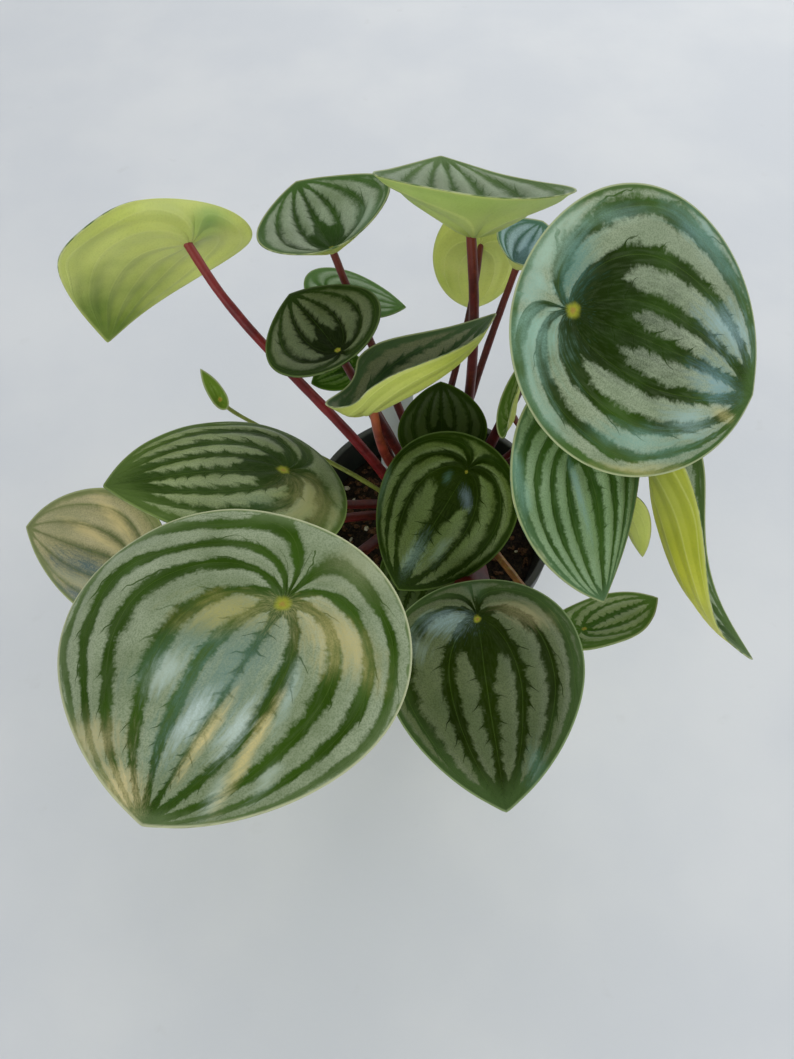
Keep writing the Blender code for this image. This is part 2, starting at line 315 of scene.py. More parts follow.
LOOKS = {
    "front_left": dict(
        veins=(-0.98, -0.91, -0.8, -0.58, -0.3, 0, 0.36, 0.7, 0.88, 0.97), dark=(60, 90, 22),
        deep=(46, 72, 8), silver=(128, 142, 108), pale=(156, 168, 138), edge=(112, 132, 88),
        start=(-3.2, -2.8), close=(3.4, 7), vein=0.21, mid=0.5, border=1, cut=0.45,
        rim=(200, 204, 166),
        washes=(
            (0.4, -0.04, 0.5, 0.2, -3, (104, 136, 128), 0.75),
            (0.36, -0.26, 0.32, 0.12, -25, (98, 132, 118), 0.55),
            (0.5, -0.27, 0.14, 0.08, -10, (190, 208, 196), 0.75),
            (0.6, -0.05, 0.18, 0.05, -4, (196, 214, 208), 0.8),
            (0.6, 0.13, 0.18, 0.05, -4, (196, 214, 208), 0.8),
            (0.4, 0.27, 0.2, 0.05, 10, (176, 198, 188), 0.7),
            (0.78, 0.37, 0.1, 0.05, -10, (190, 206, 192), 0.7),
            (0.86, 0.2, 0.1, 0.05, 0, (196, 212, 200), 0.7),
            (0.14, -0.17, 0.26, 0.12, -58, (184, 176, 104), 0.8),
            (0.05, 0.4, 0.46, 0.22, 78, (196, 184, 124), 0.8),
            (-0.7, 0.45, 0.4, 0.4, 0, (170, 174, 136), 0.5),
            (0.64, 0.03, 0.22, 0.035, -2, (214, 200, 140), 0.95),
            (0.68, 0.23, 0.28, 0.04, -2, (214, 200, 140), 0.95),
            (0.95, -0.14, 0.1, 0.12, 0, (220, 204, 150), 0.9),
            (0.9, -0.4, 0.14, 0.22, 30, (206, 194, 146), 0.75))),
    "left": dict(
        veins=(-0.96, -0.86, -0.62, -0.34, 0, 0.4, 0.72, 0.92), start=(-1.2, -2.4),
        dark=(50, 74, 20), deep=(38, 60, 8), silver=(118, 134, 82), pale=(136, 152, 100),
        edge=(84, 108, 48), vein=0.22, fuzz=1.4, close=(1.6, 4.4), rim=(128, 148, 84),
        washes=(
            (-0.15, 0.5, 0.4, 0.46, 0, (176, 172, 116), 0.75),
            (0.3, 0.4, 0.24, 0.1, -20, (76, 108, 84), 0.4))),
    "far_left": dict(
        silver=(160, 154, 108), pale=(172, 164, 122), dark=(96, 104, 64), deep=(84, 92, 60),
        edge=(122, 132, 84), start=(-2.6, -2.6), close=(3.6, 7), vein=0.13, fuzz=2.4, cut=0,
        washes=(
            (0.76, -0.2, 0.3, 0.3, 0, (130, 134, 92), 0.7),
            (0.34, -0.5, 0.4, 0.14, -24, (212, 194, 136), 0.75),
            (0.46, -0.16, 0.34, 0.07, -8, (212, 194, 136), 0.7),
            (0.6, 0.33, 0.36, 0.14, -8, (142, 150, 126), 0.75),
            (0.44, 0.15, 0.52, 0.14, 6, (60, 88, 90), 1),
            (0.6, 0.56, 0.4, 0.13, -20, (78, 102, 106), 0.95))),
    "front": dict(
        veins=(-0.98, -0.88, -0.42, 0, 0.38, 0.78, 0.95), start=(-1, -2.6), dark=(34, 50, 2),
        deep=(26, 40, 0), silver=(88, 102, 66), pale=(100, 112, 76), edge=(70, 94, 50), vein=0.2,
        border=2.6, hub=0.55, cut=0.7, rim=(140, 160, 112),
        washes=(
            (-0.05, -0.38, 0.36, 0.2, 82, (144, 170, 172), 0.9),
            (0.16, -0.66, 0.24, 0.14, 60, (142, 162, 156), 0.65),
            (0, 0.5, 0.34, 0.18, 72, (156, 150, 110), 0.75),
            (0.92, 0.2, 0.14, 0.08, 0, TEAL_SHEEN, 0.4),
            (-0.75, 0, 0.35, 0.35, 0, (86, 112, 84), 0.5))),
    "centre": dict(
        veins=(-0.95, -0.8, -0.55, 0, 0.5, 0.85, 0.97), start=(-0.9, -2.2), dark=(36, 54, 0),
        deep=(24, 40, 0), silver=(96, 116, 54), pale=(106, 128, 66), edge=(34, 56, 0), vein=0.2,
        fuzz=1.4, hub=0.3, cut=0.5, rim=(92, 114, 56),
        washes=(
            (0.22, 0.14, 0.15, 0.05, 45, (138, 160, 176), 0.75),
            (0.14, -0.13, 0.07, 0.06, 0, TEAL_SHEEN, 0.5),
            (0.73, -0.02, 0.2, 0.07, 0, (146, 176, 168), 0.7),
            (0.64, 0.15, 0.14, 0.06, 0, (132, 158, 138), 0.6),
            (0.6, -0.74, 0.34, 0.07, 40, (116, 150, 122), 0.6))),
    "right": dict(
        veins=(-0.985, -0.88, -0.68, -0.34, 0, 0.27, 0.63, 0.9), start=(-1.45, -2.9),
        ramp=(0.6, 0.75), dark=(54, 84, 20), deep=(30, 48, 0), silver=(134, 150, 118),
        pale=(156, 170, 140), edge=(72, 104, 44), vein=0.23, border=2.4, cut=0.6,
        rim=(184, 194, 150),
        washes=(
            (0.22, 0, 0.5, 0.36, 0, (26, 44, 0), 0.65),
            (-0.42, -0.45, 0.5, 0.5, 0, (160, 202, 186), 0.85),
            (-0.5, 0.65, 0.5, 0.4, 20, (176, 208, 188), 0.85),
            (-0.75, 0.1, 0.34, 0.44, 0, (166, 204, 190), 0.7),
            (-0.12, 0.36, 0.2, 0.4, 0, (104, 150, 142), 0.8),
            (-0.08, -0.86, 0.36, 0.14, 0, (150, 190, 172), 0.6),
            (0.11, 0.72, 0.28, 0.1, 0, (150, 190, 172), 0.6),
            (0.64, 0.62, 0.36, 0.12, -42, (140, 184, 180), 0.7),
            (0.78, 0.21, 0.2, 0.12, 0, (160, 196, 202), 0.85),
            (0.76, -0.04, 0.18, 0.1, -10, (124, 164, 170), 0.85),
            (0.74, -0.26, 0.16, 0.1, 10, (160, 192, 188), 0.7),
            (0.6, -0.5, 0.34, 0.12, 32, (132, 174, 160), 0.75),
            (0.88, -0.15, 0.1, 0.04, 0, (196, 188, 126), 0.8),
            (0.7, -0.66, 0.34, 0.06, 40, (188, 182, 120), 0.8))),
    "lower_right": dict(
        veins=(-0.95, -0.86, -0.7, -0.42, 0.08, 0.5, 0.8, 0.95), start=(-2.2, -2.6),
        dark=(60, 92, 34), deep=(44, 74, 20), silver=(124, 154, 108), pale=(140, 168, 126),
        edge=(92, 126, 86), vein=0.2, border=1.6, cut=0.3, close=(3.4, 7),
        washes=(
            (0.35, 0.62, 0.7, 0.42, 0, (44, 68, 22), 0.8),
            (0.1, -0.1, 0.3, 0.3, 0, (44, 74, 22), 0.5),
            (-0.1, -0.9, 0.5, 0.09, 8, (140, 184, 170), 0.7),
            (0.3, -0.13, 0.3, 0.05, 10, (130, 170, 166), 0.65),
            (0.72, -0.68, 0.24, 0.05, 40, (196, 194, 148), 0.65))),
    "inner_left": dict(
        silver=(88, 102, 62), pale=(108, 120, 82), dark=(30, 46, 8), deep=(20, 32, 3),
        edge=(44, 66, 18), fuzz=1.6, cut=0.5, hub=0.5, rim=(104, 124, 72)),
    "tucked": dict(
        silver=(70, 100, 30), pale=(84, 116, 40), dark=(40, 70, 10), deep=(28, 54, 6),
        edge=(52, 84, 16), hub=0.4, rim=(84, 116, 40)),
    # painted shade: these two leaves lie deep under the others, so their silver bands and greens
    # are painted dark
    "inner_back": dict(
        silver=(46, 66, 12), pale=(56, 76, 20), dark=(32, 50, 4), deep=(22, 36, 2),
        edge=(40, 60, 8), hub=0.3, fuzz=1.6, cut=0.5, rim=(64, 86, 24)),
    "low_front": dict(
        silver=(46, 66, 18), pale=(56, 76, 26), dark=(28, 44, 4), deep=(20, 34, 2),
        edge=(40, 60, 10), hub=0.4, rim=(68, 90, 36)),
    "behind_inner_left": dict(
        silver=(94, 122, 80), pale=(108, 134, 96), dark=(66, 100, 44), deep=(54, 88, 32),
        edge=(74, 108, 52), fuzz=2.4, cut=0.2, rim=(120, 142, 92)),
    "back_left": dict(
        silver=(118, 136, 98), pale=(150, 166, 136), dark=(50, 80, 24), deep=(36, 58, 12),
        edge=(70, 104, 44), fuzz=1.8, cut=0.4, hub=0.5,
        washes=((-0.2, -0.6, 0.5, 0.3, 30, (150, 176, 150), 0.55),)),
    "back_right": dict(
        silver=(126, 160, 156), pale=(150, 180, 184), dark=(44, 92, 70), deep=(30, 70, 44),
        edge=(84, 124, 100), fuzz=2.4, cut=0.2, hub=0.4,
        washes=((0.3, 0, 0.4, 0.3, 0, (146, 178, 192), 0.7),)),
    "back": dict(
        under=(182, 202, 118), under_deep=(154, 180, 94), silver=(110, 128, 90),
        pale=(130, 150, 116), dark=(66, 96, 40), deep=(54, 84, 30), edge=(88, 116, 60), fuzz=1.8,
        cut=0.4, under_washes=((0, 0, 0.35, 0.35, 0, (112, 132, 40), 0.7),)),
    "far_back_left": dict(
        under=(218, 226, 128), under_deep=(200, 210, 108),
        under_washes=(
            (1.15, 0.1, 0.85, 0.8, 0, (88, 118, 22), 1),
            (-0.45, -0.3, 0.5, 0.42, 30, (124, 164, 80), 0.8),
            (-0.6, 0.5, 0.4, 0.3, 30, (176, 188, 116), 0.5))),
    "curled": dict(
        silver=(98, 106, 68), pale=(116, 122, 86), dark=(44, 66, 34), deep=(32, 52, 24),
        edge=(74, 98, 62), fuzz=1.4, under=(204, 212, 106), under_deep=(180, 192, 84)),
    "hanging": dict(
        under=(192, 196, 62), under_deep=(160, 168, 42), dark=(60, 90, 40),
        under_washes=((0.95, 0, 0.3, 0.4, 0, (196, 196, 116), 0.6),)),
    "low_right": dict(
        silver=(124, 146, 82), pale=(146, 164, 106), dark=(72, 110, 30), deep=(56, 92, 20),
        edge=(88, 122, 44), hub=0.4, start=(-2.4, -2.6)),
    "young": dict(
        silver=(110, 140, 50), pale=(124, 150, 60), dark=(92, 124, 36), deep=(80, 110, 28),
        edge=(104, 134, 44), hub=0.4),
    "inner_right": dict(
        silver=(96, 120, 56), pale=(110, 130, 70), dark=(50, 80, 20), deep=(40, 66, 12),
        edge=(80, 110, 40), hub=0.4),
}


TINY = 1e-4             # keeps the lanes finite on the petiole and at the tip


def lanes_of(x, y):
    """Lane, 0 on the midrib and 1 or -1 on the margin, and how far along it from the petiole."""
    lane = (np.arctan2(y, x) + 2 * np.arctan2(y, 1 - x)) / math.pi
    near = np.hypot(x, y) + TINY
    left = (1 - x) ** 2 + y ** 2 + TINY
    return lane, np.log(near / left)


def count_lanes(lane, veins):
    """Lane 0.5 is on the first vein, 1.5 on the next, and so on to the last margin."""
    counts = [0, *(place + 0.5 for place in range(len(veins))), len(veins)]
    return np.interp(lane, [-1, *veins, 1], counts)


def lay_lanes(skin, veins):
    """The same as nodes: flat x and y, the lane, how far along it, and how far off a vein."""
    x, y = skin.flat()
    ahead = skin.less(1, x)
    turn = skin.math("ARCTAN2", y, x)
    lean = skin.math("ARCTAN2", y, ahead)
    lane = skin.math("DIVIDE", skin.scaled(lean, 2, turn), math.pi)
    lane = skin.plus(lane, skin.read("wander"))
    near = skin.math("SQRT", skin.scaled(x, x, skin.times(y, y)))
    left = skin.scaled(ahead, ahead, skin.times(y, y))
    share = skin.math("DIVIDE", skin.plus(near, TINY), skin.plus(left, TINY))
    along = skin.math("LOGARITHM", share, math.e)
    total = len(veins)
    stops = [(0.5 + 0.5 * vein, (place + 0.5) / total) for place, vein in enumerate(veins)]
    counted = skin.curve(skin.scaled(lane, 0.5, 0.5), [(0, 0), *stops, (1, 1)])
    lined = skin.math("FRACT", skin.times(counted, total))
    return x, y, lane, along, skin.less(lined, 0.5)


def lay_tints_and_painted_light(skin, colour, x, y, frayed, washes, hold=1):
    """Lays patches of tint, painted sheen and painted shade with frayed edges over a colour, as
    far as hold lets them.
    """
    for wash_x, wash_y, length, breadth, angle, tint, strength in washes:
        side = skin.less(x, wash_x)
        up = skin.less(y, wash_y)
        cos, sin = math.cos(math.radians(angle)), math.sin(math.radians(angle))
        run = skin.plus(skin.times(side, cos / length), skin.times(up, sin / length))
        rise = skin.plus(skin.times(up, cos / breadth), skin.times(side, -sin / breadth))
        far = skin.math("SQRT", skin.scaled(run, run, skin.times(rise, rise)))
        cover = skin.ease(skin.plus(far, frayed), 0, 1.25, strength, 0)
        cover = skin.times(cover, hold)
        colour = skin.mix(cover, colour, tint)
    return colour


def leaf_top(name, look):
    """Dark green with silver bands between the veins, as a watermelon's rind."""
    skin = Finish(name + "_upper", LEAF_ROUGH, LEAF_GLOSS)
    x, y, lane, along, off = lay_lanes(skin, look.veins)
    size = skin.size(lane)
    vein = skin.size(off)       # 0 on a vein, 0.5 in the middle of a band
    border, cut, spot = look.border, look.cut, look.hub

    def hairs(across, down, detail):
        """Noise drawn out on the lanes, by its lumps across them and along them."""
        return skin.noise(1, detail, vector=skin.join(
            skin.times(size, across), skin.times(along, down), skin.times(y, 3)))

    streak = hairs(34, 2.2, 3)
    comb = hairs(7, 15, 2)

    # Side veins: they leave a main vein on the side away from the midrib, and lean to the tip
    outward = skin.ease(skin.times(off, skin.math("SIGN", lane)), 0, 0.02)
    sway = skin.scaled(skin.noise(60, 1), 1.3, skin.times(skin.noise(260, 1), 0.5))
    march = skin.plus(skin.scaled(along, 1.7, skin.times(vein, -1.6)), sway)
    stroke = skin.size(skin.less(skin.math("FRACT", march), 0.5))
    breadth = skin.ease(vein, 0.1, 0.5, 0.09, 0.022)
    line = skin.ease(skin.math("DIVIDE", stroke, breadth), 0.3, 1, 1, 0)
    reach = skin.scaled(skin.noise(80, 0), 1.1, -0.2)
    feather = skin.times(line, skin.ease(skin.less(vein, reach), -0.12, 0.12, 1, 0))
    feather = skin.times(skin.times(feather, outward), min(1, 2 * cut))
    notch = skin.ease(stroke, 0, 0.4, SCALLOP * cut, -0.3 * SCALLOP * cut)

    # The silver bands: pointed where they begin, scalloped, fuzzy and closed before the tip
    begin = skin.ease(size, *look.ramp, *look.start)
    begin = skin.plus(begin, skin.centred(skin.noise(70, 1), 1))
    shut = skin.ease(skin.less(along, begin), 0, 1.3, 0.55, 0)
    shut = skin.plus(shut, skin.ease(along, *look.close, 0, 0.6))
    width = skin.ease(size, 0, 0.3, look.vein * look.mid, look.vein)
    for part in (shut, notch, skin.centred(skin.noise(80, 1), 0.24),
                 skin.centred(skin.noise(1100, 3), 0.2), skin.centred(comb, 0.16)):
        width = skin.plus(width, part)
    fuzz = FUZZ * look.fuzz
    silver = skin.ease(skin.less(vein, width), -fuzz, fuzz)
    silver = skin.times(silver, skin.less(1, feather))
    margin = skin.read_mm("margin")
    ragged = skin.scaled(skin.noise(300, 3), 2.4, margin)
    silver = skin.times(silver, skin.ease(ragged, 0.5 * border + 1.2, border + 1.4))

    # The greens and silvers, then the thread of each vein
    grain = skin.noise(2300, 1)
    broad = skin.noise(45, 2)
    dark = skin.blend(look.deep, look.dark, broad, 0.3, 0.7)
    patch = skin.noise(60, 3)
    light = skin.blend(look.silver, look.pale, patch, 0.32, 0.68)
    light = skin.blend(light, look.pale, streak, 0.35, 0.7, 0, 0.25)
    light = skin.blend(light, look.dark, grain, 0.35, 0.72, 0, 0.4)
    light = skin.mix(skin.times(line, 0.3 * min(1, cut)), light, look.dark)
    green = skin.ease(ragged, border, 3 * border + 3, 0.8, 0)
    dark = skin.mix(green, dark, look.edge)
    dark = skin.blend(dark, look.silver, streak, 0.4, 0.7, 0, 0.1)
    colour = skin.mix(silver, dark, light)
    thread = skin.ease(vein, 0, 0.022, 0.34, 0)
    colour = skin.mix(thread, colour, (84, 112, 40))

    # Tints, painted sheen and shade, broad painted shade, the petiole's spot, the margin's line
    hold = skin.times(skin.scaled(silver, 0.3, 0.7), skin.ease(grain, 0.25, 0.7, 0.7, 1))
    frayed = skin.scaled(streak, 1.4, skin.scaled(skin.noise(150, 3), 0.8, -1.1))
    colour = lay_tints_and_painted_light(skin, colour, x, y, frayed, look.washes, hold)
    shade = skin.ease(skin.noise(26, 2), 0.35, 0.68, 0, 0.4)
    colour = skin.mix(shade, colour, SHADE, "MULTIPLY")
    hub = skin.plus(skin.read_mm("hub"), skin.centred(skin.noise(500, 2), 1.6))
    halo = skin.ease(hub, 0.9 * spot, 2.9 * spot, 0.9, 0)
    colour = skin.mix(halo, colour, (156, 160, 52))
    colour = skin.blend(colour, (164, 130, 66), hub, 0.2, 1.2 * spot, 0.8, 0)
    colour = skin.blend(colour, look.rim, margin, 0.2, 0.8, 0.8, 0)
    skin.set("Base Color", colour)
    skin.set("Roughness", skin.scaled(grain, 0.16, LEAF_ROUGH - 0.08))
    skin.set("Specular IOR Level", skin.scaled(silver, 0.3, LEAF_GLOSS))
    skin.bump(skin.scaled(feather, -0.8, skin.times(thread, -1.4)), 0.18 * MM, 0.8)
    skin.bump(grain, 0.16 * MM, 0.6)
    return skin.material


def leaf_under(name, look):
    """Matt yellow-green with fine pale veins."""
    skin = Finish(name + "_lower", 0.55, 0.3)
    skin.set("Subsurface Weight", LIT_THROUGH)
    skin.set("Subsurface Radius", (1, 1.2, 0.4))
    skin.set("Subsurface Scale", 1.2 * MM)
    x, y, _, _, off = lay_lanes(skin, look.veins)
    vein = skin.size(off)
    thread = skin.ease(vein, 0.015, 0.07, 1, 0)
    band = skin.ease(vein, 0.14, 0.34)
    broad = skin.ease(skin.noise(38, 2), 0.3, 0.7)
    colour = skin.mix(broad, look.under_deep, look.under)
    colour = skin.mix(skin.times(band, 0.2), colour, look.under)
    hub = skin.ease(skin.read_mm("hub"), 2, 30, 0.6, 0)
    colour = skin.mix(hub, colour, (178, 188, 108))
    colour = skin.mix(skin.times(thread, 0.3), colour, (216, 222, 140))
    speck = skin.noise(1300, 2)
    colour = skin.blend(colour, (126, 148, 54), speck, 0.45, 0.75, 0, 0.14)
    frayed = skin.scaled(skin.noise(90, 3), 0.6, -0.3)
    colour = lay_tints_and_painted_light(skin, colour, x, y, frayed, look.under_washes)
    margin = skin.ease(skin.read_mm("margin"), 0.3, 1.4, 0.55, 0)
    colour = skin.mix(margin, colour, (190, 196, 120))
    skin.set("Base Color", colour)
    skin.bump(thread, 0.15 * MM, 0.4)
    skin.bump(speck, 0.12 * MM, 0.5)
    return skin.material


def leaf_rim(name, look):
    """The thin pale edge of the blade."""
    skin = Finish(name + "_rim", 0.5, 0.4)
    patch = skin.noise(220, 3)
    colour = skin.blend(look.edge, look.rim, patch, 0.35, 0.65)
    dry = skin.ease(skin.noise(900, 2), 0.55, 0.75, 0, 0.5)
    skin.set("Base Color", skin.mix(dry, colour, (140, 120, 84)))
    skin.bump(skin.noise(1200, 2), 0.1 * MM, 0.5)
    return skin.material


def layers_from(points):
    """These points, then their neighbours, then theirs, and so on to the last."""
    seen = set(points)
    layers = [points]
    while layers[-1]:
        found = []
        for point in layers[-1]:
            for edge in point.link_edges:
                other = edge.other_vert(point)
                if other not in seen:
                    seen.add(other)
                    found.append(other)
        layers.append(found)
    return layers[:-1]


def upper_skin(piece, petiole):
    """Cuts the merged CAD blade down to its upper skin, in quads with its flat disc as UV map."""
    shape = bmesh.new()
    shape.from_mesh(piece.data)
    sheet = shape.loops.layers.uv.new("Blade")
    crease = shape.verts.layers.float.new("crease_vert")
    poles = sorted(shape.verts, key=lambda point: len(point.link_edges))[-2:]
    top = max(poles, key=lambda pole: min(np.linalg.norm(petiole - pole.co, axis=1)))
    spokes = len(top.link_edges)
    ring = {point: step for step, layer in enumerate(layers_from([top])) for point in layer}
    rings = max(ring.values()) // 2
    crossed = {point for point in shape.verts if len(point.link_edges) > 4}
    diagonals = [edge for edge in shape.edges
                 if crossed.issuperset(edge.verts) and top not in edge.verts
                 and max(map(ring.get, edge.verts)) <= rings]
    lower = [point for point in shape.verts if ring[point] > rings]
    bmesh.ops.delete(shape, geom=lower, context="VERTS")
    bmesh.ops.dissolve_edges(shape, edges=[edge for edge in diagonals if edge.is_valid])

    # The spokes in order, to the left from the petiole's side of the first face
    after = {}
    for face in top.link_faces:
        corners = [loop.vert for loop in face.loops]
        start = corners.index(top)
        after[corners[(start + 1) % 3]] = corners[(start + 2) % 3]
    chain = [next(iter(after))]
    while len(chain) < spokes:
        chain.append(after[chain[-1]])
    towards = [(point.co - top.co).normalized() for point in chain]
    gaps = [towards[i].angle(towards[(i + 1) % spokes]) for i in range(spokes)]
    swing = -sum(cmath.rect(gap, 2 * math.pi * (i + 0.5) / spokes)
                 for i, gap in enumerate(gaps))
    tip = round(cmath.phase(swing) / (2 * math.pi) * spokes) % spokes
    chain = chain[tip:] + chain[:tip]
    flat = {top: (0, 0)}
    for spoke, point in enumerate(chain):
        around = 2 * math.pi * spoke / spokes
        angle = around - SPOKE_EASE * math.sin(around)
        while True:
            share = (ring[point] / rings) ** RING_EASE
            flat[point] = (share * math.cos(angle), share * math.sin(angle))
            outer = [edge.other_vert(point) for edge in point.link_edges
                     if ring[edge.other_vert(point)] == ring[point] + 1]
            if not outer:
                break
            point = outer[0]
        if spoke == 0:
            point[crease] = TIP_CREASE
    for face in shape.faces:
        for loop in face.loops:
            loop[sheet].uv = flat[loop.vert]
    shape.to_mesh(piece.data)
    shape.free()
    return spokes


def margin_distances(piece, points):
    """Each vertex's distance to the blade's edge."""
    shape = bmesh.new()
    shape.from_mesh(piece.data)
    edge_points = {}
    for edge in shape.edges:
        if edge.is_boundary:
            first, second = (point.index for point in edge.verts)
            edge_points.setdefault(first, []).append(second)
            edge_points.setdefault(second, []).append(first)
    shape.free()
    tree = KDTree(len(edge_points))
    for index in edge_points:
        tree.insert(points[index], index)
    tree.balance()
    nearest = np.array([tree.find(point)[1] for point in points])
    result = np.full(len(points), np.inf)
    for side in (0, 1):
        other = np.array([edge_points[index][side] for index in nearest])
        base = points[nearest]
        run = points[other] - base
        share = ((points - base) * run).sum(axis=1) / (run * run).sum(axis=1)
        foot = base + run * share.clip(0, 1)[:, None]
        result = np.minimum(result, np.linalg.norm(points - foot, axis=1))
    return result


def build_leaf(name):
    """The finished blade, and its upper skin as a tree of faces for the stalk to meet."""
    look = SimpleNamespace(**{**PLAIN, **LOOKS.get(name, {})})
    node = name + "_blade"
    piece = merged_copy(name + "_leaf", node)
    spokes = upper_skin(piece, points_of(NODES[name + "_petiole"]))
    levels = (3 if spokes > 24 else 2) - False
    modifier(piece, "SUBSURF", levels=levels, render_levels=levels, uv_smooth="SMOOTH_ALL")
    points = points_of(piece)
    corners = read_all(piece.data.loops, "vertex_index", 1, np.int32)[:, 0]
    flat = np.zeros((len(points), 2))
    flat[corners] = read_all(piece.data.uv_layers["Blade"].data, "uv", 2)
    from_hub = np.hypot(flat[:, 0], flat[:, 1])
    lane, along = lanes_of(flat[:, 0], flat[:, 1])
    margin = margin_distances(piece, points)
    hub = points[np.argmin(from_hub)]

    # The bands stand up between the veins, and lie flat at the margin and round the petiole
    wander = WANDER * lumpy(points, 42) * np.clip(from_hub * 4, 0, 1)
    phase = count_lanes(lane + wander, look.veins)
    swell = 0.5 + 0.5 * np.cos(2 * math.pi * phase)
    fade = np.clip((along + 3.2) / 1.6, 0, 1) * np.clip(margin / FLAT_MARGIN, 0, 1)
    size = min(1, max(margin) / FULL_WIDTH)
    lift = PUCKER * size * fade * (swell - 0.6) + WAVE * lumpy(points, 55, 3)
    place_points(piece, lifted(piece, lift))
    upper = BVHTree.FromPolygons([Vector(point) for point in points_of(piece)],
                                 [tuple(face.vertices) for face in piece.data.polygons])
    mark(piece, "margin", margin)
    mark(piece, "hub", np.linalg.norm(points - hub, axis=1))
    mark(piece, "wander", wander)
    for finish in (leaf_top, leaf_under, leaf_rim):
        piece.data.materials.append(finish(name, look))

    # The wall, thinner towards the margin
    body = piece.vertex_groups.new(name="body")
    for index, weight in enumerate(np.clip(margin / THIN_MARGIN, 0, 1)):
        body.add((index,), float(weight), "REPLACE")
    modifier(piece, "SOLIDIFY", thickness=BLADE_WALL, offset=-1, use_even_offset=False,
             material_offset=1, material_offset_rim=2, vertex_group="body",
             thickness_vertex_group=EDGE_SHARE)
    piece.vertex_groups.clear()
    piece.data.shade_smooth()
    settle(piece, node)
    return upper


# ---- stalks

STALK_SIDES = 5         # bevel steps of a half turn, less one
CAD_STALK_SIDES = 8
FOOT_MM = 2.5           # how far a stalk runs on into the crown
HEAD_MM = 3             # and into its blade
FOOT_SWELL = 0.2        # how much thicker it is at the foot
FOOT_REACH = 0.16       # over this share of its length
TAPER = 0.26            # how much thinner it is at the leaf
SKIN_SHARE = 0.8        # how deep it stops below the upper skin, of the blade's wall
SKIN_SEARCH = 8 * MM
STALK_LUMP = 0.12 * MM
STALK_TINTS = {
    "far_back_left": ((120, 26, 30), (88, 16, 20), (138, 54, 46)),
    "curled": ((150, 62, 44), (104, 34, 24), (170, 96, 60)),
    "low_right": ((138, 96, 48), (96, 62, 34), (160, 150, 80)),
    "young": ((128, 140, 62), (104, 116, 50), (150, 160, 80)),
    "low_front": ((112, 60, 40), (84, 40, 28), (140, 120, 70)),
}
STALK_PLAIN = ((84, 22, 18), (54, 12, 10), (108, 44, 30))


def stalk_finish(name, tints):
    """Red-brown, streaked along its length, a little lighter at the leaf."""
    base, deep, end = tints
    skin = Finish(name, 0.42, 0.32)
    run = skin.read("run")
    streak = skin.noise(420, 3, 0.4)
    patch = skin.noise(120, 2)
    colour = skin.blend(deep, base, patch, 0.3, 0.7)
    colour = skin.blend(colour, end, streak, 0.5, 0.75, 0, 0.45)
    colour = skin.blend(colour, end, run, 0.82, 1, 0, 0.75)
    colour = skin.blend(colour, deep, run, 0, 0.12, 0.6, 0)
    speck = skin.cells(900)
    colour = skin.blend(colour, (150, 84, 62), speck, 0, 0.2, 0.35, 0)
    skin.set("Base Color", colour)
    skin.bump(streak, 0.15 * MM, 0.5)
    return skin.material


def centre_line(piece):
    """Centres and radii of the rings of a CAD stalk, from the crown to the blade."""
    shape = bmesh.new()
    shape.from_mesh(piece.data)
    shape.verts.ensure_lookup_table()
    capped = shape.copy()
    bmesh.ops.dissolve_limit(capped, angle_limit=math.radians(0.3), verts=capped.verts,
                             edges=capped.edges)
    caps = [face for face in capped.faces if len(face.verts) == CAD_STALK_SIDES]
    foot = min(caps, key=lambda face: face.calc_center_median().z)
    ring = [shape.verts[point.index] for point in foot.verts]
    capped.free()
    line = []
    for ring in layers_from(ring):
        middle = sum((point.co for point in ring), Vector()) / len(ring)
        radius = sum((point.co - middle).length for point in ring) / len(ring)
        line.append((middle, radius))
    shape.free()
    return line


def run_of(points, stops, shares):
    """How far along the line of stops each point lies, from 0 to 1."""
    stations = np.array(stops)
    run = np.zeros(len(points))
    best = np.full(len(points), np.inf)
    for index, (one, two) in enumerate(zip(stations, stations[1:])):
        step = two - one
        share = (((points - one) @ step) / (step @ step)).clip(0, 1)
        away = np.linalg.norm(points - one - share[:, None] * step, axis=1)
        closer = away < best
        best[closer] = away[closer]
        run[closer] = (shares[index] + share * (shares[index + 1] - shares[index]))[closer]
    return run


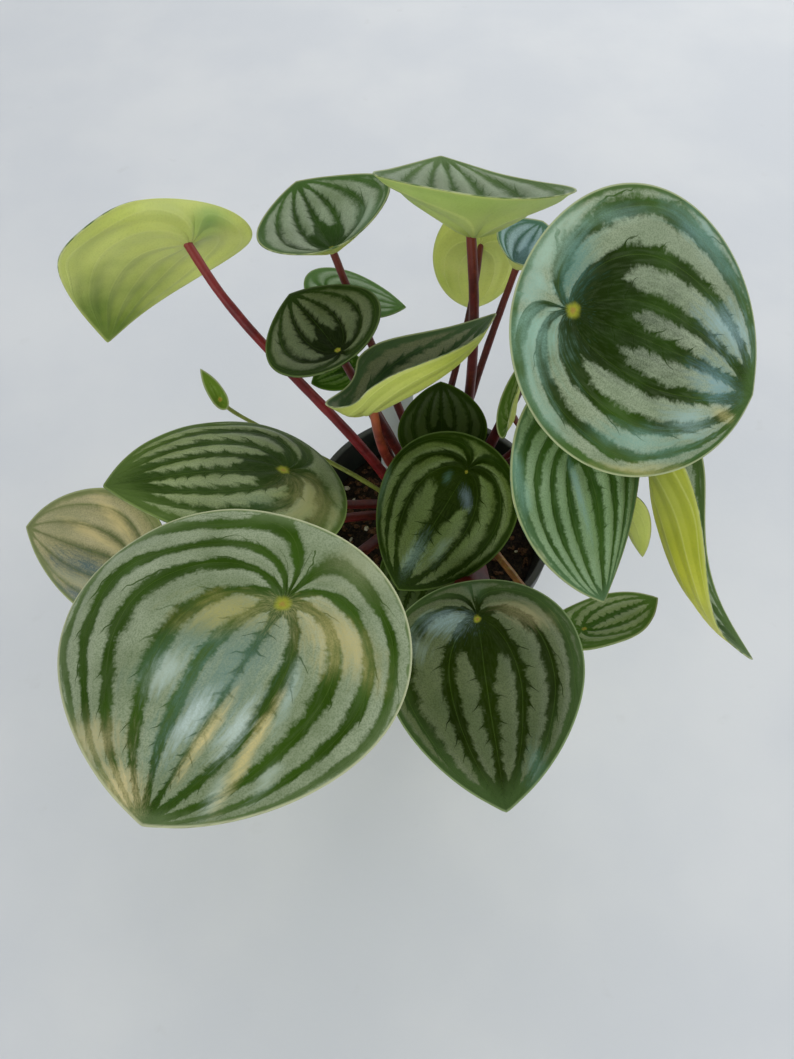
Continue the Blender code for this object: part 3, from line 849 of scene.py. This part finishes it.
def build_stalk(name, finish, upper):
    """The finished stalk, from inside the crown to just under its blade's upper skin."""
    node = name + "_petiole"
    guide = merged_copy(name + "_guide", node)
    line = centre_line(guide)
    bpy.data.objects.remove(guide)
    middles = [middle for middle, _ in line]
    foot, head = middles[0], middles[-1]
    stops = [foot + (foot - middles[1]).normalized() * FOOT_MM * MM, *middles,
             head + (head - middles[-2]).normalized() * HEAD_MM * MM]
    radius = line[len(line) // 2][1]
    curve = bpy.data.curves.new(name + "_stalk", "CURVE")
    give(curve, dimensions="3D", resolution_u=6, bevel_depth=1, bevel_resolution=STALK_SIDES,
         use_fill_caps=True)
    spline = curve.splines.new("BEZIER")
    spline.bezier_points.add(len(stops) - 1)
    lengths = [0]
    for one, two in zip(stops, stops[1:]):
        lengths.append(lengths[-1] + (two - one).length)
    shares = np.array(lengths) / lengths[-1]
    for point, stop, share in zip(spline.bezier_points, stops, shares):
        point.co = stop
        point.handle_left_type = point.handle_right_type = "AUTO"
        swell = 1 + FOOT_SWELL * max(0, 1 - share / FOOT_REACH) ** 2
        point.radius = radius * swell * (1 - TAPER * share)
    pick_only(put_out(name + "_stalk", curve))
    bpy.ops.object.convert(target="MESH")
    piece = bpy.context.view_layer.objects.active
    bpy.ops.object.mode_set(mode="EDIT")
    merge_doubles()
    run = run_of(points_of(piece), stops, shares)
    points = lifted(piece, STALK_LUMP * lumpy(points_of(piece), 160, 5))
    for index in np.flatnonzero(run > 0.5):
        spot, normal = upper.find_nearest(Vector(points[index]), SKIN_SEARCH)[:2]
        if spot is None:
            continue
        if (Vector(points[index]) - spot).dot(normal) > -SKIN_SHARE * BLADE_WALL:
            points[index] = spot - normal * SKIN_SHARE * BLADE_WALL
    place_points(piece, points)
    mark(piece, "run", run)
    piece.data.shade_smooth()
    settle(piece, node, finish)


# ---- crown, soil, pot, label

def turned(name, profile, steps):
    """A profile of (radius, height) extruded point by point and spun about the pot's axis."""
    bpy.ops.object.select_all(action="DESELECT")
    radius, height = profile[0]
    bpy.ops.mesh.primitive_plane_add(size=0.01, location=(radius, 0, height))
    piece = bpy.context.view_layer.objects.active
    piece.name = piece.data.name = name
    bpy.ops.object.transform_apply()
    bpy.ops.object.mode_set(mode="EDIT")
    bpy.ops.mesh.merge(type="CENTER")
    for before, after in zip(profile, profile[1:]):
        step = (after[0] - before[0], 0, after[1] - before[1])
        bpy.ops.mesh.extrude_vertices_move(TRANSFORM_OT_translate={"value": step})
    bpy.ops.mesh.select_all(action="SELECT")
    bpy.ops.mesh.spin(steps=steps, angle=2 * math.pi, center=(0, 0, 0), axis=(0, 0, 1))
    merge_doubles(10 * DOUBLES)
    piece.data.shade_smooth()
    return piece


def crown_finish():
    skin = Finish("crown_bark", 0.7, 0.3)
    knots = skin.ease(skin.cells(260), 0.1, 0.5, 0.5, 0)
    fibre = skin.noise(500, 4, 1.2)
    moss = skin.ease(skin.noise(140, 2), 0.5, 0.7, 0, 0.5)
    colour = skin.blend((52, 30, 22), (92, 52, 36), fibre, 0.3, 0.7)
    colour = skin.mix(knots, colour, (116, 60, 44))
    skin.set("Base Color", skin.mix(moss, colour, (74, 70, 36)))
    skin.bump(fibre, 0.6 * MM, 0.8)
    return skin.material


def soil_finish(name, low, high, fleck, scale):
    skin = Finish(name, 0.9, 0.2)
    grain = skin.noise(scale, 6, 0.6)
    colour = skin.blend(low, high, grain, 0.32, 0.68)
    flecks = skin.ease(skin.cells(0.8 * scale), 0.05, 0.28, 0.6, 0)
    skin.set("Base Color", skin.mix(flecks, colour, fleck))
    skin.set("Roughness", skin.ease(grain, 0.3, 0.7, 0.95, 0.75))
    skin.bump(grain, 0.8 * MM, 0.9)
    return skin.material


def build_crown():
    """The knobbly base that the stalks stand on."""
    piece = merged_copy("crown_base", "crown")
    modifier(piece, "SUBSURF", levels=2, render_levels=2)
    place_points(piece, lifted(piece, layered(points_of(piece), KNOBS)))
    piece.data.shade_smooth()
    settle(piece, "crown", crown_finish())


POT_TOP = 88 * MM
POT_RIM = 51 * MM
POT_FOOT = 37 * MM
BAND = 13 * MM          # height of the thick band at the rim
BAND_STEP = 1.6 * MM    # how far it stands out from the wall
POT_WALL = 1.4 * MM
POT_FLOOR = 1.8 * MM
HOLES = 6
HOLE_RADIUS = 3.5 * MM
HOLE_RING = 26 * MM     # from the pot's axis to the middle of a hole
SOIL_LEVEL = 72 * MM
SOIL_RISE = 3 * MM      # how much higher the soil is in the middle
SOIL_FOOT = 4 * MM
KNOBS = ((0.7 * MM, 180, 2), (0.35 * MM, 480, 4))
CRUMBS = ((1.3 * MM, 110, 1), (0.8 * MM, 300, 2), (0.35 * MM, 800, 3))


def wall_at(height):
    top = POT_RIM - BAND_STEP
    return POT_FOOT + (top - POT_FOOT) * height / POT_TOP


def arc(middle, radius, start, end, steps=4):
    """Points of (radius, height) on an arc in a profile, between two angles in degrees."""
    angles = [math.radians(start + (end - start) * step / steps) for step in range(steps + 1)]
    return [(middle[0] + radius * math.cos(angle), middle[1] + radius * math.sin(angle))
            for angle in angles]


def plastic_finish(name, base, worn, grain_scale, matt):
    """Moulded plastic: fine texture, dust and rubbed edges."""
    skin = Finish(name, matt, 0.45)
    grain = skin.noise(grain_scale, 3)
    dust = skin.noise(38, 5, 0.5)
    colour = skin.blend(base, worn, dust, 0.42, 0.72, 0, 0.3)
    scuff = skin.ease(skin.noise(260, 6, 1.5), 0.6, 0.72, 0, 0.35)
    skin.set("Base Color", skin.mix(scuff, colour, worn))
    skin.set("Roughness", skin.ease(dust, 0.35, 0.7, matt - 0.06, matt + 0.14))
    skin.bump(grain, 0.12 * MM, 0.5)
    return skin.material


def smooth_by_angle(piece, degrees):
    pick_only(piece)
    bpy.ops.object.shade_smooth_by_angle(angle=math.radians(degrees))


def build_pot():
    """A thin nursery pot: tapered wall, thick band at the rim, raised rings and a foot."""
    lip = 0.7 * MM
    curl = 2 * MM       # of the inner corner at the floor
    heel = 1.2 * MM
    ring = 0.45 * MM    # how far a raised ring stands out
    band = POT_TOP - BAND
    floor = wall_at(POT_FLOOR) - POT_WALL - curl
    inner_top = wall_at(POT_TOP) - POT_WALL
    profile = [
        (0, POT_FLOOR), (floor, POT_FLOOR),
        *arc((floor, POT_FLOOR + curl), curl, -90, 0)[1:],
        (wall_at(SOIL_LEVEL) - POT_WALL, SOIL_LEVEL), (inner_top, POT_TOP - lip),
        *arc((inner_top + lip, POT_TOP - lip), lip, 180, 90)[1:],
        *arc((POT_RIM - lip, POT_TOP - lip), lip, 90, 0),
        *arc((POT_RIM - 0.25 * MM - lip, band + lip), lip, 0, -90),
        (wall_at(band) + 0.2 * MM, band)]
    for height in (band - 8 * MM, 0.5 * band, 11 * MM):
        top, foot = height + 0.9 * MM, height - 0.9 * MM
        radius = wall_at(height) + ring
        profile += [(wall_at(top), top), (radius, height + 0.35 * MM),
                    (radius, height - 0.35 * MM), (wall_at(foot), foot)]
    profile += arc((wall_at(0) - heel, heel), heel, 0, -90)
    profile += [(POT_FOOT - 4 * MM, 0), (POT_FOOT - 5 * MM, 0.7 * MM), (0, 0.7 * MM)]
    piece = turned("nursery_pot", profile, 160)
    for index in range(HOLES):
        bearing = 2 * math.pi * (index + 0.5) / HOLES
        spot = (HOLE_RING * math.cos(bearing), HOLE_RING * math.sin(bearing), 1 * MM)
        bpy.ops.mesh.primitive_cylinder_add(vertices=32, radius=HOLE_RADIUS, depth=8 * MM,
                                            location=spot)
        drill = bpy.context.view_layer.objects.active
        modifier(piece, "BOOLEAN", object=drill, operation="DIFFERENCE", solver="EXACT")
        bpy.data.objects.remove(drill)
    smooth_by_angle(piece, 32)
    settle(piece, "pot",
           plastic_finish("pot_plastic", (26, 32, 28), (70, 74, 68), 2600, 0.48))


def mound(away, edge):
    """The soil's height at a distance from the pot's axis."""
    return SOIL_LEVEL + SOIL_RISE * max(0, 1 - (away / edge) ** 2)


def build_soil():
    """The potting mix, mounded and crumbly. It gives back the radius of its top."""
    edge = wall_at(SOIL_LEVEL) - POT_WALL - 0.15 * MM
    foot = wall_at(SOIL_FOOT) - POT_WALL - 0.3 * MM
    rings, steps = ((60, 150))
    radii = [edge * index / rings for index in range(rings + 1)]
    profile = [(radius, mound(radius, edge)) for radius in radii]
    profile += [(edge, SOIL_LEVEL - 4 * MM), (foot, SOIL_FOOT), (0, SOIL_FOOT)]
    piece = turned("potting_soil", profile, steps)
    points = points_of(piece)
    away = np.hypot(points[:, 0], points[:, 1])
    top = points[:, 2] > SOIL_LEVEL - 1 * MM
    inside = np.clip((edge - away) / (2 * MM), 0, 1)
    points[:, 2] += np.where(top, layered(points, CRUMBS) * inside, 0)
    place_points(piece, points)
    settle(piece, "soil",
           soil_finish("potting_soil", (14, 10, 7), (38, 27, 17), (66, 50, 34), 700))
    return edge


def build_bits(name, count, size, flat, finish, seed, edge):
    """Loose bits lying in the soil, one bit shaped once and copied with its own turn and size."""
    draw = random.Random(seed)
    pattern = bmesh.new()
    bmesh.ops.create_icosphere(pattern, subdivisions=1, radius=1)
    bits = bmesh.new()
    for _ in range(count):
        bearing = draw.uniform(0, 2 * math.pi)
        away = (edge - 2 * MM) * math.sqrt(draw.uniform(0.02, 1))
        spot = Vector((away * math.cos(bearing), away * math.sin(bearing), mound(away, edge)))
        spot.z += float(layered([spot], CRUMBS)[0]) + 0.2 * MM
        reach = size * draw.uniform(0.5, 1.25)
        form = Matrix.Diagonal((reach, reach * draw.uniform(0.45, 0.85),
                                reach * flat * draw.uniform(0.6, 1.2), 1))
        tilt = Matrix.Rotation(draw.uniform(-0.7, 0.7), 4, "X")
        spin = Matrix.Rotation(draw.uniform(0, 2 * math.pi), 4, "Z")
        place = Matrix.Translation(spot) @ spin @ tilt @ form
        fresh = {}
        for point in pattern.verts:
            jag = 1 + draw.uniform(-0.22, 0.22)
            fresh[point] = bits.verts.new(place @ (point.co * jag))
        for face in pattern.faces:
            bits.faces.new([fresh[point] for point in face.verts])
    piece = put_out(name, bpy.data.meshes.new(name))
    bits.to_mesh(piece.data)
    bits.free()
    pattern.free()
    settle(piece, finish=finish)


def build_label():
    """A plain stake with softened edges, left blank."""
    piece = merged_copy("blank_label", "plant_label")
    pick_only(piece)
    bpy.ops.object.mode_set(mode="EDIT")
    bpy.ops.mesh.select_all(action="SELECT")
    bpy.ops.mesh.dissolve_limited(angle_limit=math.radians(1))
    bpy.ops.object.mode_set(mode="OBJECT")
    modifier(piece, "BEVEL", width=0.25 * MM, segments=3, limit_method="ANGLE",
             angle_limit=math.radians(30))
    smooth_by_angle(piece, 35)
    settle(piece, "plant_label",
           plastic_finish("label_plastic", (196, 206, 214), (168, 172, 170), 1800, 0.5))


# ---- studio

FLOOR_DROP = 0.4 * MM   # keeps the table clear of the pot's foot
LENS = 27.03            # for a frame 36 mm wide
EYE = (-0.014, -0.161, 0.377)
EYE_TILT = 28           # degrees from straight down
AIM = (0, 0, 0.15)      # what the lamps point at


def build_studio():
    scene = bpy.context.scene
    scene.view_settings.view_transform = "Standard"
    bpy.ops.object.select_all(action="DESELECT")
    bpy.ops.mesh.primitive_plane_add(size=6, location=(0, 0, -FLOOR_DROP))
    table = bpy.context.view_layer.objects.active
    table.name = table.data.name = "table_top"
    paint = Finish("table_paint", 0.6, 0.3)
    broad = paint.ease(paint.noise(9, 4), 0.35, 0.7)
    marks = paint.ease(paint.noise(60, 5), 0.66, 0.78, 0, 0.25)
    colour = paint.mix(broad, (214, 218, 224), (222, 225, 229))
    paint.set("Base Color", paint.mix(marks, colour, (200, 202, 204)))
    paint.bump(paint.noise(300, 4), 0.2 * MM, 0.3)
    table.data.materials.append(paint.material)

    camera = bpy.data.cameras.new("camera")
    give(camera, lens=LENS, sensor_width=36, clip_start=0.01)
    scene.camera = put_out("camera", camera)
    give(scene.camera, location=EYE, rotation_euler=(math.radians(EYE_TILT), 0, 0))

    scene.world = bpy.data.worlds.new("studio")
    scene.world.use_nodes = True
    tree = scene.world.node_tree
    place, split, ramp = (tree.nodes.new("ShaderNode" + kind)
                          for kind in ("TexCoord", "SeparateXYZ", "ValToRGB"))
    tree.links.new(place.outputs["Generated"], split.inputs[0])
    tree.links.new(split.outputs["Z"], ramp.inputs["Fac"])
    tree.links.new(ramp.outputs["Color"], tree.nodes["Background"].inputs["Color"])
    stops = ramp.color_ramp.elements
    stops[0].color = (0.98, 0.98, 0.96, 1)
    stops[1].color = (0.16, 0.17, 0.18, 1)
    stops.new(0.35).color = (0.95, 0.96, 0.96, 1)
    stops.new(0.7).color = (0.36, 0.38, 0.39, 1)

    lamps = (
        ("window", (0.35, 1.1, 0.95), 1.2, 7, (1, 0.99, 0.97)),
        ("room", (-0.5, -1.1, 0.95), 1.2, 7, (1, 0.98, 0.93)),
        ("side", (1.1, 0.1, 0.9), 1, 3.5, (0.95, 0.98, 1)),
    )
    for name, spot, width, power, tint in lamps:
        lamp = bpy.data.lights.new(name, "AREA")
        give(lamp, shape="RECTANGLE", size=width, size_y=width, energy=power, color=tint)
        turn = (Vector(AIM) - Vector(spot)).to_track_quat("-Z", "Y").to_euler()
        give(put_out(name, lamp), location=spot, rotation_euler=turn)


build_studio()

leaves = sorted(node.removesuffix("_blade") for node in NODES if node.endswith("_blade"))
plain_stalk = stalk_finish("stalk_plain", STALK_PLAIN)
for leaf in leaves:
    upper = build_leaf(leaf)
    tints = STALK_TINTS.get(leaf)
    build_stalk(leaf, stalk_finish("stalk_" + leaf, tints) if tints else plain_stalk, upper)
build_crown()
build_pot()
soil_edge = build_soil()
bark = soil_finish("bark_bits", (40, 26, 18), (92, 64, 42), (120, 92, 62), 900)
build_bits("bark_bits", 330, 2 * MM, 0.5, bark, 3, soil_edge)
perlite = soil_finish("perlite_bits", (172, 166, 146), (208, 204, 190), (140, 128, 104), 1500)
build_bits("perlite_bits", 60, 1.5 * MM, 0.8, perlite, 8, soil_edge)
build_label()
